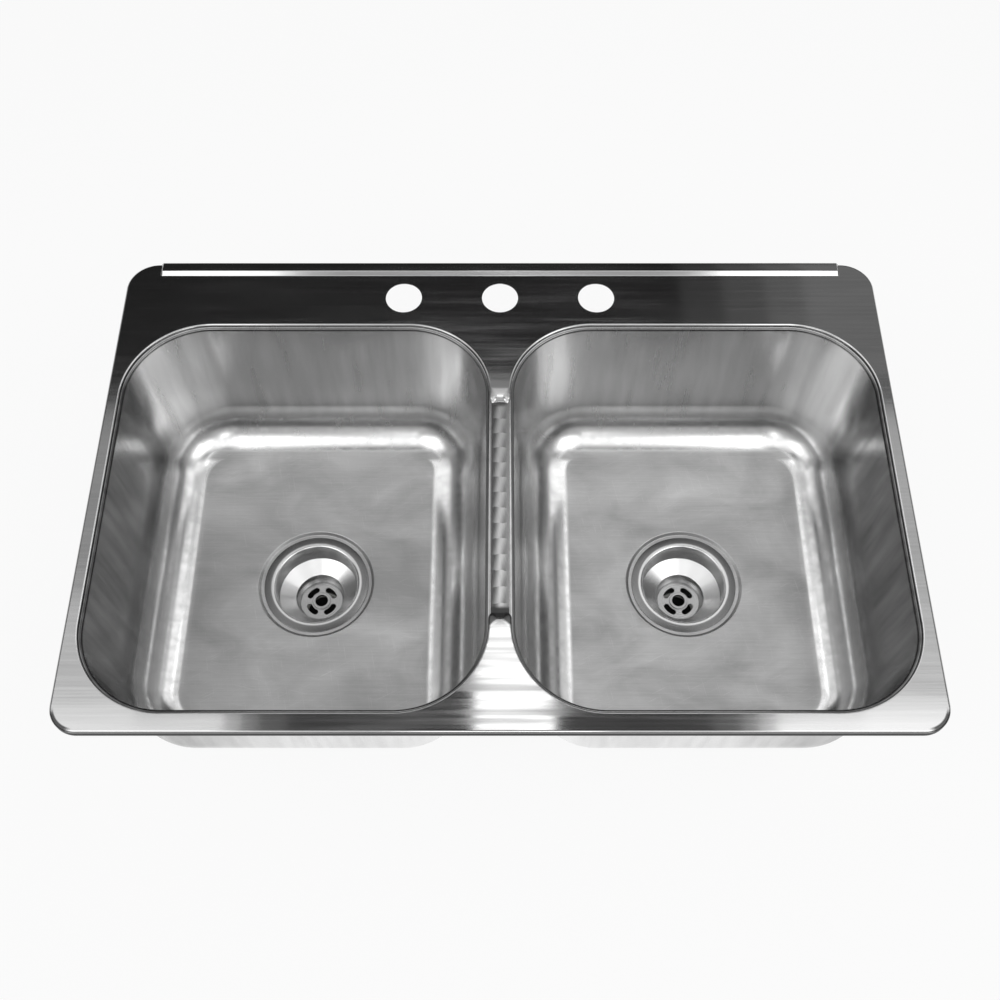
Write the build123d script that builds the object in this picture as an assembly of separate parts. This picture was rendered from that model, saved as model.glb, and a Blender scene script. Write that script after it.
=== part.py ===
from build123d import *
import os
from math import atan2, cos, radians, tan

# A drop-in kitchen sink with two equal bowls side by side, drawn from stainless sheet. One deck
# plate carries both bowls, a lowered saddle joins them in the middle, and three tap holes stand
# in the rear ledge. Each bowl has a drain fitting in a recess of its floor. Nine clamps hang on
# studs under the deck: their feet lie along the rim while the sink is dropped in, then swing out
# under the worktop and are drawn up by wing nuts.
#
# Lengths are in millimetres. The origin is the centre of the rim's footprint on the worktop, so
# z = 0 is the worktop's top. +X runs from left to right, +Y from front to back and +Z up.

# ---- Deck ----------------------------------------------------------------------------------
SINK_WIDTH = 794.0  # 31 1/4 in
SINK_DEPTH = 521.0  # 20 1/2 in
RIM_HEIGHT = 8.0  # deck top above the worktop
SHEET = 0.9  # stainless sheet
FRONT_CORNER_RADIUS = 26.0
REAR_CORNER_RADIUS = 32.0
RIM_ROLL = 2.5  # outer radius where the deck turns down into the rim

RIDGE_HALF_LENGTH = 363.0  # raised ridge along the rear edge
RIDGE_RISE = 3.5
RIDGE_RUN = 5.5  # front to back length of its sloping face
RIDGE_WIDTH = 17.0  # from the toe of the slope to the rear edge

TAP_HOLE_DIAMETER = 38.1  # 1 1/2 in
TAP_HOLE_SPACING = 101.6  # 4 in
TAP_HOLE_COUNT = 3
TAP_HOLE_FROM_REAR = 45.5

# ---- Bowls ---------------------------------------------------------------------------------
BOWL_DEPTH = 178.0  # 7 in, deck top to bowl floor
SIDE_RIM = 13.0  # deck edge to bowl opening
FRONT_RIM = 19.5
REAR_LEDGE = 81.5
DIVIDER_WIDTH = 21.5  # between the two openings
OPENING_RADIUS = 85.0
BEAD_DROP = 3.0  # step from the deck down to the bowl's lip
BEAD_ROLL = 2.0  # outer radius of the two rolled edges round an opening
BEAD_LEDGE = 1.0  # flat of the lip between them
WALL_DRAFT = 4.0  # degrees
FLOOR_RADIUS = 44.0  # between wall and floor

# ---- Divider saddle ------------------------------------------------------------------------
SADDLE_FRONT = -147.0  # where the front tongue of the deck ends
SADDLE_REAR = 88.0  # where the rear tongue ends
SADDLE_WIDTH = 17.0
SADDLE_CROWN = 0.9
SADDLE_TUCK = 2.5  # length that reaches under each tongue
TONGUE_RADIUS = 7.0

# ---- Drain fitting -------------------------------------------------------------------------
DRAIN_X = 199.5
DRAIN_Y = -34.0
RECESS_RADIUS = 63.5  # where the floor turns down
RECESS_SEAT_RADIUS = 59.0
RECESS_DEPTH = 3.0
RECESS_BEND = 2.0
DRAIN_HOLE_RADIUS = 46.0

FLANGE_RADIUS = 56.5
FLANGE_EDGE = 0.9  # thickness at the outer edge
FLANGE_THICKNESS = 1.8  # thickness at the throat
CUP_RADIUS = 44.0
CUP_WALL = 1.2
CUP_STRAIGHT = 27.5  # bowl floor to the top of the cone
CONE_HEIGHT = 8.0
THROAT_RADIUS = 26.5
THROAT_HEIGHT = 12.0
THROAT_ROLL = 2.0  # rounding of the cup's mouth

GRID_RADIUS = 23.0
GRID_THICKNESS = 1.2
GRID_CLEARANCE = 0.2
GRID_HUB_RADIUS = 10.0
GRID_HUB_RISE = 2.0
GRID_HOLE_RADIUS = 6.75
GRID_SLOT_COUNT = 4
GRID_SLOT_RADIUS = 14.6
GRID_SLOT_WIDTH = 6.4
GRID_SLOT_ANGLE = 38.0  # of the slot's centre line, degrees

OUTLET_RADIUS = 20.5
OUTLET_THREAD_RADIUS = 23.75
OUTLET_LENGTH = 24.0  # below the grid's seat

THREAD_CLEARANCE = 0.2
GASKET_RADIUS = 57.0
GASKET_THICKNESS = 3.0
FRICTION_RING_THICKNESS = 1.5
LOCKNUT_HEIGHT = 8.0
LOCKNUT_WALL = 9.0
LUG_COUNT = 6
LUG_WIDTH = 9.0
LUG_RISE = 4.0

TAILPIECE_BORE_RADIUS = 19.3  # passes a 38.1 mm tailpiece
TAILPIECE_WASHER_THICKNESS = 2.5
TAILPIECE_WASHER_GAP = 0.3  # radial, more open than the nut's lip
COUPLING_NUT_LIP = 3.5
COUPLING_NUT_WALL = 5.0
COUPLING_NUT_HEIGHT = 17.0

# ---- Seal and pads under the deck and the floors -------------------------------------------
SEAL_INSET = 2.6  # rim edge to the seal's outer side
SEAL_WIDTH = 5.2

PAD_LENGTH = 150.0
PAD_WIDTH = 60.0
PAD_THICKNESS = 3.0
PAD_CORNER_RADIUS = 12.0
PAD_GAP = 20.0  # locknut's wall to the pad's near side

# ---- Clamps --------------------------------------------------------------------------------
CLAMP_FRONT_INSET = 28.5  # rim edge to the stud's axis
CLAMP_REAR_INSET = 24.5
CLAMP_SIDE_INSET = 25.0
CLAMP_SIDE_FROM_REAR = 104.5  # rear edge to the side studs' axis
CLAMP_REAR_X = 180.0  # inner pair on the rear ledge
CLAMP_REAR_PITCH = 120.0  # from the inner pair to the outer pair
STUD_RADIUS = 2.5
STUD_LENGTH = 59.0
STUD_BASE_RADIUS = 5.5
STUD_BASE_THICKNESS = 1.2
CLAMP_HOLE_CLEARANCE = 0.15
FOOT_TOP = -40.0  # height of the stored foot's plate
FOOT_REACH = 32.0
FOOT_HEEL = 6.5
FOOT_WIDTH = 10.0
FOOT_THICKNESS = 2.5
FOOT_CORNER_RADIUS = 3.0
FOOT_TOOTH_RISE = 4.0
FOOT_TOOTH_THICKNESS = 2.0
FOOT_TOOTH_WIDTH = 7.0
FOOT_TOOTH_COUNT = 3
WING_NUT_RADIUS = 5.0
WING_NUT_HEIGHT = 5.0
WING_SPAN = 24.0
WING_HEIGHT = 9.0
WING_THICKNESS = 1.6
WING_ROUND = 3.0

# ---- Worked out from the sizes above -------------------------------------------------------
DECK_UNDERSIDE = RIM_HEIGHT - SHEET
LIP_TOP = RIM_HEIGHT - BEAD_DROP
FLOOR_Z = RIM_HEIGHT - BOWL_DEPTH
OPENING_WIDTH = (SINK_WIDTH - 2 * SIDE_RIM - DIVIDER_WIDTH) / 2
OPENING_DEPTH = SINK_DEPTH - FRONT_RIM - REAR_LEDGE
BOWL_X = (DIVIDER_WIDTH + OPENING_WIDTH) / 2
BOWL_Y = (FRONT_RIM - REAR_LEDGE) / 2
WALL_INSET = BEAD_LEDGE + BEAD_ROLL  # opening to the top of the bowl's wall
SEAT_Z = FLOOR_Z - RECESS_DEPTH
CUP_OUTER_RADIUS = CUP_RADIUS + CUP_WALL
CONE_TOP = FLOOR_Z - CUP_STRAIGHT
CONE_BOTTOM = CONE_TOP - CONE_HEIGHT
GRID_TOP = CONE_BOTTOM - THROAT_HEIGHT
GRID_SEAT = GRID_TOP - GRID_THICKNESS
OUTLET_END = GRID_SEAT - OUTLET_LENGTH
TAP_HOLE_Y = SINK_DEPTH / 2 - TAP_HOLE_FROM_REAR


def deck_outline(inset):
    """Rounded outline of the deck, drawn in by inset."""
    plate = Rectangle(SINK_WIDTH - 2 * inset, SINK_DEPTH - 2 * inset)
    corners = plate.vertices().group_by(Axis.Y)
    plate = fillet(corners[0], FRONT_CORNER_RADIUS - inset)
    rear = [v for v in plate.vertices() if v.Y > SINK_DEPTH / 2 - inset - 0.01]
    return fillet(rear, REAR_CORNER_RADIUS - inset)


def bowl_outline(side, inset):
    """Rounded outline of one bowl's opening, drawn in by inset."""
    shape = RectangleRounded(
        OPENING_WIDTH - 2 * inset, OPENING_DEPTH - 2 * inset, OPENING_RADIUS - inset
    )
    return Pos(side * BOWL_X, BOWL_Y) * shape


def deck_opening(grow, height):
    """Solid that cuts the deck's opening: both bowls and the saddle, widened by grow."""
    length = SADDLE_REAR - SADDLE_FRONT + 2 * grow
    middle = (SADDLE_REAR + SADDLE_FRONT) / 2
    gap = Pos(0, middle) * Rectangle(DIVIDER_WIDTH + 2 * WALL_INSET, length)
    opening = extrude(bowl_outline(-1, -grow) + bowl_outline(1, -grow) + gap, amount=height)
    tips = [
        e
        for e in opening.edges().filter_by(Axis.Z)
        if abs(abs(e.center().Y - middle) - length / 2) < 0.01
    ]
    return fillet(tips, TONGUE_RADIUS - grow)


def ridge_block(inset):
    """Solid under the rear ridge's outer skin, drawn in by inset."""
    shift = inset * tan(atan2(RIDGE_RISE, RIDGE_RUN) / 2)
    rear = SINK_DEPTH / 2 - inset
    toe = SINK_DEPTH / 2 - RIDGE_WIDTH + shift
    deck = RIM_HEIGHT - inset
    points = [
        (toe, deck),
        (toe + RIDGE_RUN, deck + RIDGE_RISE),
        (rear, deck + RIDGE_RISE),
        (rear, deck - RIM_ROLL),
        (toe, deck - RIM_ROLL),
    ]
    profile = Polygon(*points, align=None)
    profile = fillet(profile.vertices().sort_by(Axis.Y)[-2:].sort_by(Axis.X)[-1:], RIM_ROLL - inset)
    half = RIDGE_HALF_LENGTH - inset
    return Pos(-half, 0, 0) * extrude(Plane.YZ * profile, amount=2 * half, dir=(1, 0, 0))


def deck_block(inset):
    """Solid under the deck's outer skin, with the openings, drawn in by inset."""
    block = extrude(deck_outline(inset), amount=RIM_HEIGHT - inset)
    top = block.edges().group_by(Axis.Z)[-1]
    block = fillet(top, RIM_ROLL - inset)
    block = block - deck_opening(inset, RIM_HEIGHT - inset)
    rim_edges = [
        e
        for e in block.edges().group_by(Axis.Z)[-1]
        if abs(e.center().Y) < SINK_DEPTH / 2 - RIM_ROLL - 1
        and abs(e.center().X) < SINK_WIDTH / 2 - RIM_ROLL - 1
    ]
    return fillet(rim_edges, BEAD_ROLL - inset) + ridge_block(inset)


def deck():
    """Deck plate with its turned-down rim, rolled openings, rear ridge and tap holes."""
    shell = deck_block(0) - deck_block(SHEET)
    shell = shell - extrude(deck_outline(SEAL_INSET), amount=LIP_TOP)
    first = -(TAP_HOLE_COUNT - 1) / 2
    for i in range(TAP_HOLE_COUNT):
        hole = Cylinder(TAP_HOLE_DIAMETER / 2, 4 * RIM_HEIGHT)
        shell = shell - Pos((first + i) * TAP_HOLE_SPACING, TAP_HOLE_Y, RIM_HEIGHT) * hole
    return shell


def turned(points, rounds):
    """Solid of revolution about Z from (radius, height) points; rounds maps a point to a radius."""
    profile = Polygon(*points, align=None)
    for index, radius in rounds.items():
        x, y = points[index]
        corner = [v for v in profile.vertices() if abs(v.X - x) + abs(v.Y - y) < 0.001]
        profile = fillet(corner, radius)
    return revolve(Plane.XZ * profile, Axis.Z)


def ring(inner, outer, bottom, top):
    """Plain ring about Z."""
    return turned([(inner, bottom), (outer, bottom), (outer, top), (inner, top)], {})


def bowl_form(side, inset, floor):
    """Solid bowl shape under the lip: tapered walls and a rounded floor edge."""
    outline = Pos(0, 0, LIP_TOP) * bowl_outline(side, inset)
    form = extrude(outline, amount=-(LIP_TOP - floor), taper=WALL_DRAFT)
    radius = FLOOR_RADIUS + FLOOR_Z - floor
    return fillet(form.faces().sort_by(Axis.Z)[0].edges(), radius)


def floor_recess():
    """Round recess of the bowl's floor round the drain, with the drain hole."""
    shift = SHEET * tan(atan2(RECESS_DEPTH, RECESS_RADIUS - RECESS_SEAT_RADIUS) / 2)
    edge = RECESS_RADIUS + 2 * RECESS_BEND
    points = [
        (edge, FLOOR_Z),
        (RECESS_RADIUS, FLOOR_Z),
        (RECESS_SEAT_RADIUS, SEAT_Z),
        (DRAIN_HOLE_RADIUS, SEAT_Z),
        (DRAIN_HOLE_RADIUS, SEAT_Z - SHEET),
        (RECESS_SEAT_RADIUS + shift, SEAT_Z - SHEET),
        (RECESS_RADIUS + shift, FLOOR_Z - SHEET),
        (edge, FLOOR_Z - SHEET),
    ]
    rounds = {1: RECESS_BEND + SHEET, 2: RECESS_BEND, 5: RECESS_BEND + SHEET, 6: RECESS_BEND}
    return turned(points, rounds), Cylinder(edge, 4 * SHEET)


def saddle_seam(side):
    """Part of the lip's outline that reaches in to the edge of the divider saddle."""
    width = DIVIDER_WIDTH / 2 + BEAD_LEDGE - SADDLE_WIDTH / 2
    length = SADDLE_REAR - SADDLE_FRONT + 2 * SADDLE_TUCK
    middle = (SADDLE_REAR + SADDLE_FRONT) / 2
    return Pos(side * (SADDLE_WIDTH + width) / 2, middle) * Rectangle(width, length)


def bowl(side):
    """One drawn bowl with its lip, wall, floor and drain recess."""
    wall_offset = SHEET / cos(radians(WALL_DRAFT))
    lip_outline = bowl_outline(side, -SHEET) + saddle_seam(side)
    lip = extrude(Pos(0, 0, LIP_TOP) * lip_outline, amount=-SHEET)
    outside = lip + bowl_form(side, WALL_INSET - wall_offset, FLOOR_Z - SHEET)
    under_lip = [
        e
        for e in outside.edges()
        if abs(e.center().Z - LIP_TOP + SHEET) < 0.01
        and abs(e.bounding_box().min.Z - e.bounding_box().max.Z) < 0.01
        and outside_lip_distance(side, e) > SHEET
    ]
    outside = fillet(under_lip, BEAD_ROLL - SHEET)
    shell = outside - bowl_form(side, WALL_INSET, FLOOR_Z)
    mouth = [
        e
        for e in shell.edges().group_by(Axis.Z)[-1]
        if outside_lip_distance(side, e) > SHEET
    ]
    shell = fillet(mouth, BEAD_ROLL)
    recess, cutter = floor_recess()
    at_drain = Pos(side * DRAIN_X, DRAIN_Y, 0)
    shell = shell - at_drain * Pos(0, 0, FLOOR_Z) * cutter
    return shell + at_drain * recess


def outside_lip_distance(side, edge):
    """How far an edge's middle lies inside the lip's outer outline."""
    middle = edge @ 0.5
    dx = OPENING_WIDTH / 2 + SHEET - abs(middle.X - side * BOWL_X)
    dy = OPENING_DEPTH / 2 + SHEET - abs(middle.Y - BOWL_Y)
    if dx < OPENING_RADIUS and dy < OPENING_RADIUS:
        radius = OPENING_RADIUS + SHEET
        return radius - ((radius - dx) ** 2 + (radius - dy) ** 2) ** 0.5
    return min(dx, dy)


def divider_saddle():
    """Lowered strip between the bowls, with a slight crown, tucked under both deck tongues."""
    length = SADDLE_REAR - SADDLE_FRONT
    middle = (SADDLE_REAR + SADDLE_FRONT) / 2
    half = SADDLE_WIDTH / 2
    crown = make_face(
        ThreePointArc((-half, LIP_TOP), (0, LIP_TOP + SADDLE_CROWN), (half, LIP_TOP))
        + Line((half, LIP_TOP), (-half, LIP_TOP))
    )
    cap = Pos(0, SADDLE_REAR, 0) * extrude(Plane.XZ * crown, amount=length)
    cap = cap & deck_opening(0, 2 * RIM_HEIGHT)
    strip = Box(SADDLE_WIDTH, length + 2 * SADDLE_TUCK, SHEET)
    return Pos(0, middle, LIP_TOP - SHEET / 2) * strip + cap


def rim_seal():
    """Foam strip under the deck, just inside the rim, that meets the worktop."""
    outline = deck_outline(SEAL_INSET) - deck_outline(SEAL_INSET + SEAL_WIDTH)
    return extrude(outline, amount=DECK_UNDERSIDE)


def strainer_body():
    """Drain body: flange, straight cup, cone, throat, seat of the grid and threaded outlet."""
    points = [
        (FLANGE_RADIUS, SEAT_Z),
        (FLANGE_RADIUS, SEAT_Z + FLANGE_EDGE),
        (CUP_RADIUS, SEAT_Z + FLANGE_THICKNESS),
        (CUP_RADIUS, CONE_TOP),
        (THROAT_RADIUS, CONE_BOTTOM),
        (GRID_RADIUS + GRID_CLEARANCE, GRID_TOP),
        (GRID_RADIUS + GRID_CLEARANCE, GRID_SEAT),
        (OUTLET_RADIUS, GRID_SEAT),
        (OUTLET_RADIUS, OUTLET_END),
        (OUTLET_THREAD_RADIUS, OUTLET_END),
        (OUTLET_THREAD_RADIUS, GRID_SEAT - CUP_WALL),
        (THROAT_RADIUS + CUP_WALL, CONE_BOTTOM - CUP_WALL / 2),
        (CUP_OUTER_RADIUS, CONE_TOP - CUP_WALL / 2),
        (CUP_OUTER_RADIUS, SEAT_Z),
    ]
    return turned(points, {2: THROAT_ROLL, 3: CUP_WALL, 4: CUP_WALL})


def strainer_grid():
    """Grid at the bottom of the cup: a disc with curved slots round a raised hub."""
    disc = ring(GRID_HOLE_RADIUS, GRID_RADIUS, GRID_SEAT, GRID_TOP)
    hub = ring(GRID_HOLE_RADIUS, GRID_HUB_RADIUS, GRID_TOP, GRID_TOP + GRID_HUB_RISE)
    hub = fillet(hub.edges().group_by(Axis.Z)[-1], GRID_HUB_RISE / 3)
    step = 360 / GRID_SLOT_COUNT
    for i in range(GRID_SLOT_COUNT):
        start = (i + 0.5) * step - GRID_SLOT_ANGLE / 2
        line = CenterArc((0, 0), GRID_SLOT_RADIUS, start, GRID_SLOT_ANGLE)
        slot = extrude(SlotArc(line, GRID_SLOT_WIDTH), amount=3 * GRID_THICKNESS)
        disc = disc - Pos(0, 0, GRID_SEAT - GRID_THICKNESS) * slot
    return disc + hub


def drain_gasket():
    """Rubber ring under the bowl's floor."""
    top = SEAT_Z - SHEET
    return ring(CUP_OUTER_RADIUS + THREAD_CLEARANCE, GASKET_RADIUS, top - GASKET_THICKNESS, top)


def friction_ring():
    """Fibre ring that lets the locknut turn under the rubber."""
    top = SEAT_Z - SHEET - GASKET_THICKNESS
    inner = CUP_OUTER_RADIUS + THREAD_CLEARANCE
    return ring(inner, GASKET_RADIUS, top - FRICTION_RING_THICKNESS, top)


def lugs(radius, bottom, height):
    """Lugs round a nut that a spanner pushes on."""
    block = Pos(0, 0, bottom + height / 2) * Box(2 * LUG_RISE, LUG_WIDTH, height)
    return PolarLocations(radius, LUG_COUNT) * block


def lugged_nut(points, outer, bottom, height):
    """Turned nut with lugs fused to its outside."""
    nut = turned(points, {})
    for lug in lugs(outer, bottom, height):
        nut = nut + lug
    bore = min(radius for radius, z in points)
    return nut - Pos(0, 0, bottom + height / 2) * Cylinder(bore, 4 * height)


def drain_locknut():
    """Large nut that clamps the drain body to the bowl's floor."""
    top = SEAT_Z - SHEET - GASKET_THICKNESS - FRICTION_RING_THICKNESS
    bottom = top - LOCKNUT_HEIGHT
    inner = CUP_OUTER_RADIUS + THREAD_CLEARANCE
    outer = inner + LOCKNUT_WALL
    points = [(inner, bottom), (outer, bottom), (outer, top), (inner, top)]
    return lugged_nut(points, outer, bottom, LOCKNUT_HEIGHT)


def tailpiece_washer():
    """Washer between the outlet's end and the coupling nut's lip."""
    inner = TAILPIECE_BORE_RADIUS + TAILPIECE_WASHER_GAP
    outer = OUTLET_THREAD_RADIUS
    return ring(inner, outer, OUTLET_END - TAILPIECE_WASHER_THICKNESS, OUTLET_END)


def coupling_nut():
    """Nut on the outlet's thread, with a lip that holds the tailpiece."""
    lip_top = OUTLET_END - TAILPIECE_WASHER_THICKNESS
    bottom = lip_top - COUPLING_NUT_LIP
    top = bottom + COUPLING_NUT_HEIGHT
    thread = OUTLET_THREAD_RADIUS + THREAD_CLEARANCE
    outer = thread + COUPLING_NUT_WALL
    points = [
        (TAILPIECE_BORE_RADIUS, bottom),
        (outer, bottom),
        (outer, top),
        (thread, top),
        (thread, lip_top),
        (TAILPIECE_BORE_RADIUS, lip_top),
    ]
    nut = turned(points, {})
    for lug in lugs(outer, bottom, COUPLING_NUT_HEIGHT):
        nut = nut + lug
    hollow = turned([(0, lip_top), (thread, lip_top), (thread, top), (0, top)], {})
    return nut - hollow - Pos(0, 0, bottom) * Cylinder(TAILPIECE_BORE_RADIUS, 4 * COUPLING_NUT_LIP)


def sound_pad(side):
    """Damping pad stuck to the underside of one bowl's floor, behind the drain."""
    near = DRAIN_Y + CUP_OUTER_RADIUS + THREAD_CLEARANCE + LOCKNUT_WALL + PAD_GAP
    pad = extrude(RectangleRounded(PAD_LENGTH, PAD_WIDTH, PAD_CORNER_RADIUS), amount=PAD_THICKNESS)
    place = Pos(side * DRAIN_X, near + PAD_WIDTH / 2, FLOOR_Z - SHEET - PAD_THICKNESS)
    return place * pad


def clamp_stud():
    """Threaded stud with a weld base under the deck."""
    base = Pos(0, 0, -STUD_BASE_THICKNESS / 2) * Cylinder(STUD_BASE_RADIUS, STUD_BASE_THICKNESS)
    shank = Pos(0, 0, -STUD_LENGTH / 2) * Cylinder(STUD_RADIUS, STUD_LENGTH)
    shank = chamfer(shank.edges().group_by(Axis.Z)[0], STUD_RADIUS / 3)
    return Pos(0, 0, DECK_UNDERSIDE) * (base + shank)


def clamp_foot():
    """Swinging foot: a bar with a hole for the stud and a toothed, turned-up end."""
    length = FOOT_REACH + FOOT_HEEL
    middle = (FOOT_REACH - FOOT_HEEL) / 2
    outline = RectangleRounded(length, FOOT_WIDTH, FOOT_CORNER_RADIUS)
    bar = Pos(middle, 0, 0) * extrude(outline, amount=-FOOT_THICKNESS)
    tooth_x = FOOT_REACH - FOOT_TOOTH_THICKNESS / 2
    upright = Box(FOOT_TOOTH_THICKNESS, FOOT_TOOTH_WIDTH, FOOT_TOOTH_RISE + FOOT_THICKNESS)
    height = (FOOT_TOOTH_RISE - FOOT_THICKNESS) / 2
    foot = bar + Pos(tooth_x - FOOT_TOOTH_THICKNESS / 4, 0, height) * upright
    pitch = FOOT_TOOTH_WIDTH / FOOT_TOOTH_COUNT
    for i in range(FOOT_TOOTH_COUNT - 1):
        notch = Rot(45, 0, 0) * Box(4 * FOOT_TOOTH_THICKNESS, pitch / 2, pitch / 2)
        offset = (i + 1 - FOOT_TOOTH_COUNT / 2) * pitch
        foot = foot - Pos(tooth_x, offset, FOOT_TOOTH_RISE) * notch
    hole = Cylinder(STUD_RADIUS + CLAMP_HOLE_CLEARANCE, 4 * FOOT_THICKNESS)
    return Pos(0, 0, FOOT_TOP) * (foot - hole)


def clamp_wing_nut():
    """Wing nut under the foot, its wings along the stored foot."""
    hub = Pos(0, 0, -WING_NUT_HEIGHT / 2) * Cylinder(WING_NUT_RADIUS, WING_NUT_HEIGHT)
    wings = Box(WING_SPAN, WING_THICKNESS, WING_HEIGHT)
    wings = fillet(wings.edges().filter_by(Axis.Y), WING_ROUND)
    nut = hub + Pos(0, 0, -WING_HEIGHT / 2) * wings
    hole = Cylinder(STUD_RADIUS + CLAMP_HOLE_CLEARANCE, 4 * WING_HEIGHT)
    return Pos(0, 0, FOOT_TOP - FOOT_THICKNESS) * (nut - hole)


def clamp_places():
    """Place of each clamp, turned so that its own +X is the way the stored foot points."""
    side = SINK_WIDTH / 2 - CLAMP_SIDE_INSET
    front = -SINK_DEPTH / 2 + CLAMP_FRONT_INSET
    rear = SINK_DEPTH / 2 - CLAMP_REAR_INSET
    side_y = SINK_DEPTH / 2 - CLAMP_SIDE_FROM_REAR
    outer = CLAMP_REAR_X + CLAMP_REAR_PITCH
    towards_left, towards_right, towards_rear = 180, 0, 90
    spots = {
        "front_left": (-side, front, towards_right),
        "front_middle": (0, front, towards_right),
        "front_right": (side, front, towards_left),
        "side_left": (-side, side_y, towards_rear),
        "side_right": (side, side_y, towards_rear),
        "rear_outer_left": (-outer, rear, towards_left),
        "rear_inner_left": (-CLAMP_REAR_X, rear, towards_left),
        "rear_inner_right": (CLAMP_REAR_X, rear, towards_right),
        "rear_outer_right": (outer, rear, towards_right),
    }
    return {name: Location((x, y, 0), (0, 0, turn)) for name, (x, y, turn) in spots.items()}


def sub_parts():
    """All nodes of the sink by name."""
    nodes = {"deck": deck(), "divider_saddle": divider_saddle(), "rim_seal": rim_seal()}
    for name, side in (("left", -1), ("right", 1)):
        at_drain = Pos(side * DRAIN_X, DRAIN_Y, 0)
        nodes[f"{name}_bowl"] = bowl(side)
        nodes[f"{name}_sound_pad"] = sound_pad(side)
        for part_name, make in (
            ("strainer_body", strainer_body),
            ("strainer_grid", strainer_grid),
            ("drain_gasket", drain_gasket),
            ("friction_ring", friction_ring),
            ("drain_locknut", drain_locknut),
            ("tailpiece_washer", tailpiece_washer),
            ("coupling_nut", coupling_nut),
        ):
            nodes[f"{name}_{part_name}"] = at_drain * make()
    places = clamp_places()
    nodes["clamp_studs"] = Compound([place * clamp_stud() for place in places.values()])
    for name, place in places.items():
        nodes[f"{name}_foot"] = place * clamp_foot()
        nodes[f"{name}_wing_nut"] = place * clamp_wing_nut()
    return nodes


def main():
    os.makedirs("parts", exist_ok=True)
    for name, solid in sub_parts().items():
        export_step(solid, f"parts/{name}.step")


main()
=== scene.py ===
"""Looks of a drop-in stainless kitchen sink with two bowls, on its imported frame.

Sizes in this file are in millimetres until a mesh or a node is made; lamps, camera and studio
are in metres. The axes are the frame's: +X to the right, +Y to the back, +Z up, with the
worktop's top at z = 0.
"""
from math import cos, pi, radians, sin, tan

import bpy
import numpy as np
from mathutils.geometry import delaunay_2d_cdt
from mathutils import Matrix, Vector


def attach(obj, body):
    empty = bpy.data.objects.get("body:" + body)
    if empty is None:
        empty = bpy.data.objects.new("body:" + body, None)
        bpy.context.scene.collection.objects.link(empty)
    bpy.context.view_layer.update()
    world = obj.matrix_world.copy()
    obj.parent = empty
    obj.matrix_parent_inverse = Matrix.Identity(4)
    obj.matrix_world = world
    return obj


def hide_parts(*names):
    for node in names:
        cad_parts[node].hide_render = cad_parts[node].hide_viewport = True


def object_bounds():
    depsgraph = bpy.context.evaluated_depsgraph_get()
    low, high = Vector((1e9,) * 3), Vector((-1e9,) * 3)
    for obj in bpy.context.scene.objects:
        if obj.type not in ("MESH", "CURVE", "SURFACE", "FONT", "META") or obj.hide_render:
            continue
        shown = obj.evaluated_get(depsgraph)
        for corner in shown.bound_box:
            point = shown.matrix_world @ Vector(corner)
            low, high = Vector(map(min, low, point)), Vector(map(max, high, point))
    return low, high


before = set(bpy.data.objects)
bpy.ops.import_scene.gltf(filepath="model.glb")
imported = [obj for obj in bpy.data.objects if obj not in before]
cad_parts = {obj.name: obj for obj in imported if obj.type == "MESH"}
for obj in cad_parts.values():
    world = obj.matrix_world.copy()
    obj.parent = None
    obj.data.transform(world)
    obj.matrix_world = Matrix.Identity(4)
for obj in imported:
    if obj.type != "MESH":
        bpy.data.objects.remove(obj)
cad_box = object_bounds()

# ---- Sizes of the pressed steel --------------------------------------------------------------
WIDTH, DEPTH, TOP, SHEET = 794.0, 521.0, 8.0, 0.9
FRONT_CORNER, REAR_CORNER, RIM_ROLL = 26.0, 32.0, 2.5
RIDGE_HALF, RIDGE_TOE, RIDGE_SHOULDER, RIDGE_TOP = 363.0, 244.6, 248.4, 11.5
RIDGE_FOOT, RIDGE_END = 5.6, 2.5  # height of its rear face's foot; length over which an end falls
TAP_RADIUS, TAP_PITCH, TAP_Y, TAP_STEPS = 19.05, 101.6, 215.0, 96
LIP, FLOOR = 5.0, -170.0
OPEN_X, OPEN_Y, OPEN_HALF_X, OPEN_HALF_Y, OPEN_RADIUS = 197.375, -31.0, 186.625, 210.0, 85.0
BEAD, WALL_INSET, WALL_ANGLE = 2.0, 3.0, radians(4)
DRAFT = tan(WALL_ANGLE)
FLOOR_RADIUS, INNER_RADIUS = 44.0, 60.0  # of a bowl's bend; of it on the divider's side
LIP_FALL, SEAM_FALL = 0.9, 1.7  # of a bowl's lip towards its wall; of it by the saddle
SADDLE_HALF, SADDLE_FRONT, SADDLE_REAR, SADDLE_CROWN = 8.5, -149.5, 90.5, 0.9
TONGUE_FRONT, TONGUE_REAR, TONGUE_RADIUS, DIVIDER_HALF = -144.5, 83.0, 7.0, 10.75
TIP_SLOPE = 9.0  # length of the slope at a tongue's tip
FLAT_END = 0.3  # flat that goes on past a roll or a bend
LIP_GAP = 0.02  # from the deck's roll down to the bowls' lip

# ---- Sizes of the drain: radii, then heights ---------------------------------------------------
DRAIN_X, DRAIN_Y = 199.5, -34.0
RECESS_EDGE, RECESS_TOP, RECESS_FOOT, DRAIN_HOLE = 67.5, 62.8, 60.0, 46.0
RECESS_SHIFT = 0.4  # outwards, of the recess's underside
FLANGE, CUP, CUP_OUTER, THROAT = 56.5, 44.0, 45.2, 26.5
GRID_POCKET, OUTLET, OUTLET_THREAD = 23.2, 20.5, 23.75
SEAT = FLOOR - 3.0
CONE_TOP, CONE_FOOT, GRID_TOP, GRID_SEAT, OUTLET_END = -197.5, -205.5, -217.5, -218.7, -242.7
THREAD_DEPTH = 0.7


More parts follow.
